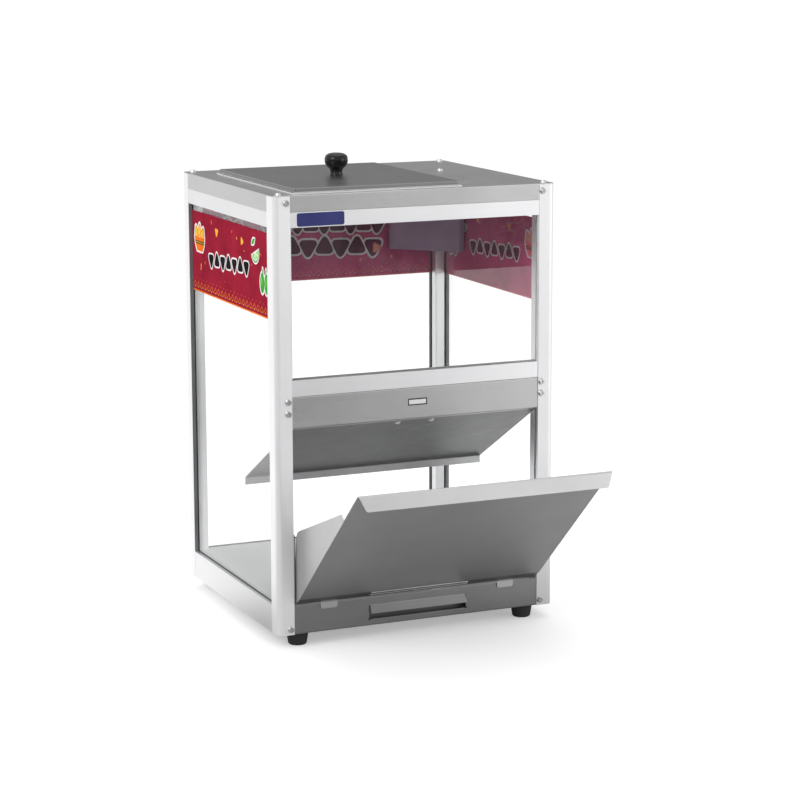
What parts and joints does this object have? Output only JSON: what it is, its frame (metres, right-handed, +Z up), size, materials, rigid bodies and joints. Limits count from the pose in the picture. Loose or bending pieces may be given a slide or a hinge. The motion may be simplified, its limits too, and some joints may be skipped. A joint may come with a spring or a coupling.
{
  "type": "chip warmer",
  "caption": "Glazed aluminium counter cabinet for warm chips, with a lift-off lid, a tilt-out serving flap and a pull-out crumb drawer.",
  "frame": {"origin": "on the counter, under the middle of the cabinet's 430 x 384 mm plan", "axes": "+X right and +Z up; the serving flap faces -Y"},
  "size_m": [0.43, 0.6362, 0.6796],
  "materials": {
    "satin_aluminium": "satin anodised extrusion",
    "cover_aluminium": "satin sheet",
    "stainless": "brushed stainless sheet",
    "bright_steel": "zinc or nickel plated",
    "clear_glass": "clear tempered glass",
    "printed_film": null,
    "black_rubber": "moulded rubber",
    "grey_rubber": "extruded glazing channel",
    "black_bakelite": "polished phenolic",
    "black_plastic": "moulded plastic",
    "navy_plate": "plain plate, no text",
    "housing_paint": "dark heat-resistant paint",
    "white_ceramic": null,
    "lamp_glass": "reflector lamp bulb"
  },
  "bodies": {
    "cabinet": {"post_front_left": "satin_aluminium", "post_front_right": "satin_aluminium", "post_rear_left": "satin_aluminium", "post_rear_right": "satin_aluminium", "top_rail_left": "satin_aluminium", "top_rail_right": "satin_aluminium", "top_rail_front": "satin_aluminium", "top_rail_rear": "satin_aluminium", "bottom_rail_left": "satin_aluminium", "bottom_rail_right": "satin_aluminium", "bottom_rail_rear": "satin_aluminium", "mid_rail": "satin_aluminium", "lid_rim": "satin_aluminium", "top_cover": "cover_aluminium", "mid_panel": "stainless", "floor_plate": "stainless", "base_plate": "stainless", "catch_rivets": "bright_steel", "post_screws": "bright_steel", "top_screws": "bright_steel", "foot_screws": "bright_steel", "nuts": "bright_steel", "rail_dowels": "bright_steel", "catch_body": "bright_steel", "glass_left": "clear_glass", "glass_right": "clear_glass", "glass_rear": "clear_glass", "glass_front": "clear_glass", "printed_film_left": "printed_film", "printed_film_right": "printed_film", "printed_film_rear": "printed_film", "foot_front_left": "black_rubber", "foot_front_right": "black_rubber", "foot_rear_left": "black_rubber", "foot_rear_right": "black_rubber", "side_gaskets": "grey_rubber", "rear_gasket": "grey_rubber", "front_gasket": "grey_rubber", "catch_magnet": "black_plastic", "drawer_runners": "black_plastic", "switch_body": "black_plastic", "cable_gland": "black_plastic", "gland_nut": "black_plastic", "badge": "navy_plate", "lamp_housing": "housing_paint", "lamp_cover": "housing_paint", "lamp_grille": "housing_paint", "lamp_holder": "white_ceramic", "terminal_block": "white_ceramic", "heat_lamp": "lamp_glass"},
    "drawer": {"drawer_front": "stainless", "crumb_tray": "stainless", "pivot_pins": "bright_steel"},
    "flap": {"flap": "stainless", "flap_hinge_plate": "stainless", "flap_striker": "bright_steel"},
    "lid": {"lid": "cover_aluminium", "lid_knob": "black_bakelite", "knob_screw": "bright_steel"},
    "rocker": {"switch_rocker": "black_plastic"}
  },
  "joints": [
    {"name": "drawer_slide", "type": "slide", "parent": "cabinet", "child": "drawer", "axis": [0, -1, 0], "range_m": [0, 0.3]},
    {"name": "flap_hinge", "type": "hinge", "parent": "drawer", "child": "flap", "pos_m": [0, -0.1855, 0.0675], "axis": [-1, 0, 0], "range_deg": [0, 48.3]},
    {"name": "lid_lift", "type": "slide", "parent": "cabinet", "child": "lid", "axis": [0, 0, 1], "range_m": [0, 0.08]},
    {"name": "switch_rock", "type": "hinge", "parent": "cabinet", "child": "rocker", "pos_m": [0.112, 0.1925, 0.628], "axis": [0, 0, 1], "range_deg": [0, 16]}
  ]
}
